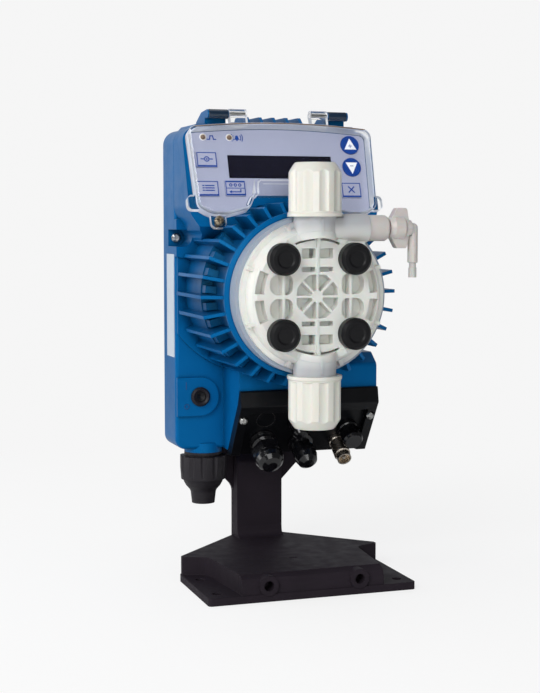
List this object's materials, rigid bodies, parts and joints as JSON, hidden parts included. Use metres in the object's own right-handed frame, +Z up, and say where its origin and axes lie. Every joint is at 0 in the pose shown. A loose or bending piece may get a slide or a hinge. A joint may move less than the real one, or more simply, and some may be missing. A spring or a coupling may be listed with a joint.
{
  "type": "diaphragm metering pump",
  "caption": "Solenoid diaphragm metering pump: finned housing with a covered key panel, ribbed head with hose nuts, bleed valve, cable gland and foot bracket.",
  "frame": {"origin": "centre of the four foot holes, on the underside of the foot", "axes": "+X to the right seen from the front, +Y from the front to the back, +Z up"},
  "size_m": [0.114, 0.1188, 0.2545],
  "materials": {
    "blue_plastic": "moulded, fine satin grain",
    "black_plastic": "moulded, satin",
    "gloss_black": "moulded, glossy",
    "black_rubber": "soft, satin",
    "membrane_film": "printed polyester film",
    "display_glass": "dark display window",
    "clear_plastic": "clear polycarbonate",
    "white_plastic": "milky polypropylene",
    "ivory_plastic": "glossy, ivory",
    "milky_plastic": "translucent, warm grey",
    "ptfe": "white fluoropolymer",
    "steel": "zinc plated steel",
    "copper_wire": "enamelled copper winding",
    "board_green": "circuit board with parts",
    "label_white": "plain white film",
    "led_lens": "clear lens, unlit",
    "ceramic": "ground ceramic ball"
  },
  "bodies": {
    "root": {"mounting_bracket": "black_plastic", "bracket_screws": "steel", "rear_cover": "blue_plastic", "front_casing": "blue_plastic", "housing_gasket": "black_rubber", "casing_screws": "steel", "rating_label": "label_white", "panel_membrane": "membrane_film", "display_window": "display_glass", "display_board": "board_green", "led_pulse": "led_lens", "led_alarm": "led_lens", "hinge_pins": "steel", "switch_bezel": "black_plastic", "connector_cover": "gloss_black", "connector_screws": "steel", "signal_gland": "gloss_black", "signal_gland_nut": "gloss_black", "port_caps": "gloss_black", "probe_socket": "steel", "gland_body": "black_plastic", "pump_head": "white_plastic", "head_backplate": "white_plastic", "diaphragm": "ptfe", "head_bolts": "steel", "bolt_caps": "black_rubber", "valve_seats": "ptfe", "valve_cages": "white_plastic", "hose_nipples": "white_plastic", "bleed_body": "milky_plastic", "pole_plate": "steel", "solenoid_yoke": "steel", "coil_bobbin": "black_plastic", "solenoid_coil": "copper_wire", "shaft_bushes": "ptfe", "return_spring": "steel", "main_board": "board_green"},
    "cover": {"panel_cover": "clear_plastic", "cover_screws": "steel"},
    "drive": {"armature": "steel"},
    "discharge_ball": {"discharge_ball": "ceramic"},
    "suction_ball": {"suction_ball": "ceramic"},
    "switch_button": {"switch_button": "black_rubber"},
    "bleed_knob": {"bleed_knob": "milky_plastic", "bleed_needle": "milky_plastic"},
    "bleed_elbow": {"bleed_elbow": "milky_plastic"},
    "discharge_ring": {"discharge_clamp_ring": "white_plastic"},
    "discharge_nut": {"discharge_nut": "ivory_plastic"},
    "suction_ring": {"suction_clamp_ring": "white_plastic"},
    "suction_nut": {"suction_nut": "ivory_plastic"},
    "gland_sleeve": {"gland_seal": "black_rubber"},
    "gland_nut": {"gland_nut": "black_plastic"},
    "key_cal": {"key_cal": "membrane_film"},
    "key_prog": {"key_prog": "membrane_film"},
    "key_mode": {"key_mode": "membrane_film"},
    "key_esc": {"key_esc": "membrane_film"},
    "key_up": {"key_up": "membrane_film"},
    "key_down": {"key_down": "membrane_film"}
  },
  "joints": [
    {"name": "cover_hinge", "type": "hinge", "parent": "root", "child": "cover", "pos_m": [0, 0.035, 0.2516], "axis": [-1, 0, 0], "range_deg": [0, 105]},
    {"name": "stroke", "type": "slide", "parent": "root", "child": "drive", "axis": [0, -1, 0], "range_m": [0, 0.00125], "stiffness_N_per_m": 4000, "deforming": ["return_spring", "diaphragm"]},
    {"name": "discharge_ball_lift", "type": "slide", "parent": "root", "child": "discharge_ball", "axis": [0, 0, 1], "range_m": [0, 0.0016]},
    {"name": "suction_ball_lift", "type": "slide", "parent": "root", "child": "suction_ball", "axis": [0, 0, 1], "range_m": [0, 0.0016]},
    {"name": "key_cal_press", "type": "slide", "parent": "root", "child": "key_cal", "axis": [0, 0.9461, -0.3239], "range_m": [0, 0.0004], "stiffness_N_per_m": 800},
    {"name": "key_prog_press", "type": "slide", "parent": "root", "child": "key_prog", "axis": [0, 0.9461, -0.3239], "range_m": [0, 0.0004], "stiffness_N_per_m": 800},
    {"name": "key_mode_press", "type": "slide", "parent": "root", "child": "key_mode", "axis": [0, 0.9461, -0.3239], "range_m": [0, 0.0004], "stiffness_N_per_m": 800},
    {"name": "key_esc_press", "type": "slide", "parent": "root", "child": "key_esc", "axis": [0, 0.9461, -0.3239], "range_m": [0, 0.0004], "stiffness_N_per_m": 800},
    {"name": "key_up_press", "type": "slide", "parent": "root", "child": "key_up", "axis": [0, 0.9461, -0.3239], "range_m": [0, 0.0004], "stiffness_N_per_m": 800},
    {"name": "key_down_press", "type": "slide", "parent": "root", "child": "key_down", "axis": [0, 0.9461, -0.3239], "range_m": [0, 0.0004], "stiffness_N_per_m": 800},
    {"name": "switch_press", "type": "slide", "parent": "root", "child": "switch_button", "axis": [0, 1, 0], "range_m": [0, 0.002], "stiffness_N_per_m": 400},
    {"name": "bleed_knob_turn", "type": "hinge", "parent": "root", "child": "bleed_knob", "pos_m": [0.046, -0.0235, 0.1909], "axis": [1, 0, 0], "range_deg": [0, 360]},
    {"name": "bleed_elbow_swivel", "type": "hinge", "parent": "root", "child": "bleed_elbow", "pos_m": [0.0542, -0.0235, 0.1909], "axis": [1, 0, 0], "continuous": true},
    {"name": "discharge_nut_travel", "type": "slide", "parent": "root", "child": "discharge_ring", "axis": [0, 0, 1], "range_m": [0, 0.008]},
    {"name": "discharge_nut_turn", "type": "hinge", "parent": "discharge_ring", "child": "discharge_nut", "pos_m": [0, -0.0235, 0.21], "axis": [0, 0, 1], "range_deg": [0, 959.9]},
    {"name": "suction_nut_travel", "type": "slide", "parent": "root", "child": "suction_ring", "axis": [0, 0, -1], "range_m": [0, 0.008]},
    {"name": "suction_nut_turn", "type": "hinge", "parent": "suction_ring", "child": "suction_nut", "pos_m": [0, -0.0235, 0.1], "axis": [0, 0, -1], "range_deg": [0, 959.9]},
    {"name": "gland_nut_travel", "type": "slide", "parent": "root", "child": "gland_sleeve", "axis": [0, 0, -1], "range_m": [0, 0.006]},
    {"name": "gland_nut_turn", "type": "hinge", "parent": "gland_sleeve", "child": "gland_nut", "pos_m": [-0.0352, 0.0615, 0.05], "axis": [0, 0, -1], "range_deg": [0, 1439.9]}
  ],
  "couplings": [
    {"joint": "discharge_nut_travel", "follows": "discharge_nut_turn", "m_per_rad": 0.00047746},
    {"joint": "suction_nut_travel", "follows": "suction_nut_turn", "m_per_rad": 0.00047746},
    {"joint": "gland_nut_travel", "follows": "gland_nut_turn", "m_per_rad": 0.00023873}
  ]
}
